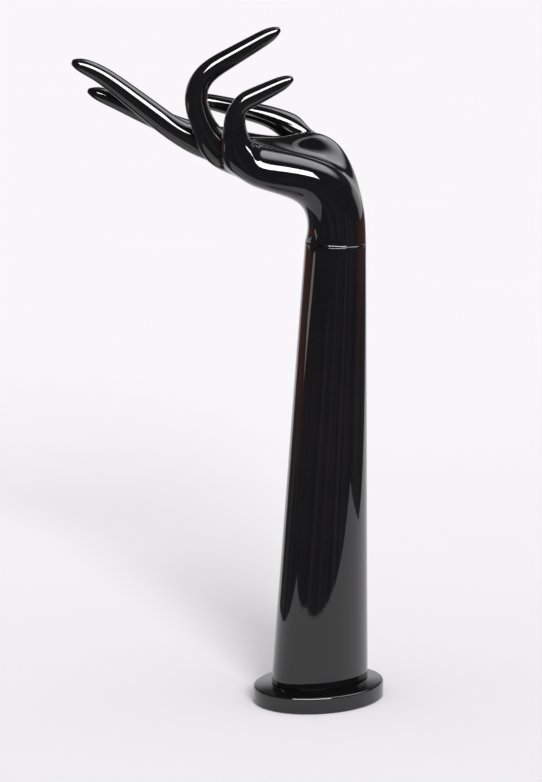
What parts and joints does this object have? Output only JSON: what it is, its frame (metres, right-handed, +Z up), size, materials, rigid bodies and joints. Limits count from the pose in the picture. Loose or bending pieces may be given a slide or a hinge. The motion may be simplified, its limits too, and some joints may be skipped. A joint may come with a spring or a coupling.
{
  "type": "mannequin hand",
  "caption": "Free-standing display hand, palm up with two raised fingers, on a tapering forearm and an oval base plate. The hand turns on a lock at the wrist.",
  "frame": {"origin": "centre of the base plate's underside", "axes": "+Z up, -X the way the fingers point, +Y the thumb side"},
  "size_m": [0.211, 0.1059, 0.4596],
  "materials": {
    "black_lacquer": "mirror-gloss black lacquer",
    "timber": "bare",
    "zinc_steel": "zinc plated"
  },
  "bodies": {
    "arm": {"base_plate": "black_lacquer", "base_screw_1": "zinc_steel", "base_screw_2": "zinc_steel", "base_screw_3": "zinc_steel", "foot_block": "timber", "forearm": "black_lacquer", "wrist_block": "timber", "lock_plate": "zinc_steel", "lock_plate_screw_1": "zinc_steel", "lock_plate_screw_2": "zinc_steel"},
    "palm": {"hand": "black_lacquer", "lock_stud": "zinc_steel", "lock_stud_screw_1": "zinc_steel", "lock_stud_screw_2": "zinc_steel"}
  },
  "joints": [
    {"name": "wrist_turn", "type": "hinge", "parent": "arm", "child": "palm", "pos_m": [0.01098, 0.009, 0.31243], "axis": [0.0332, 0, 0.9995], "range_deg": [0, 90]}
  ]
}
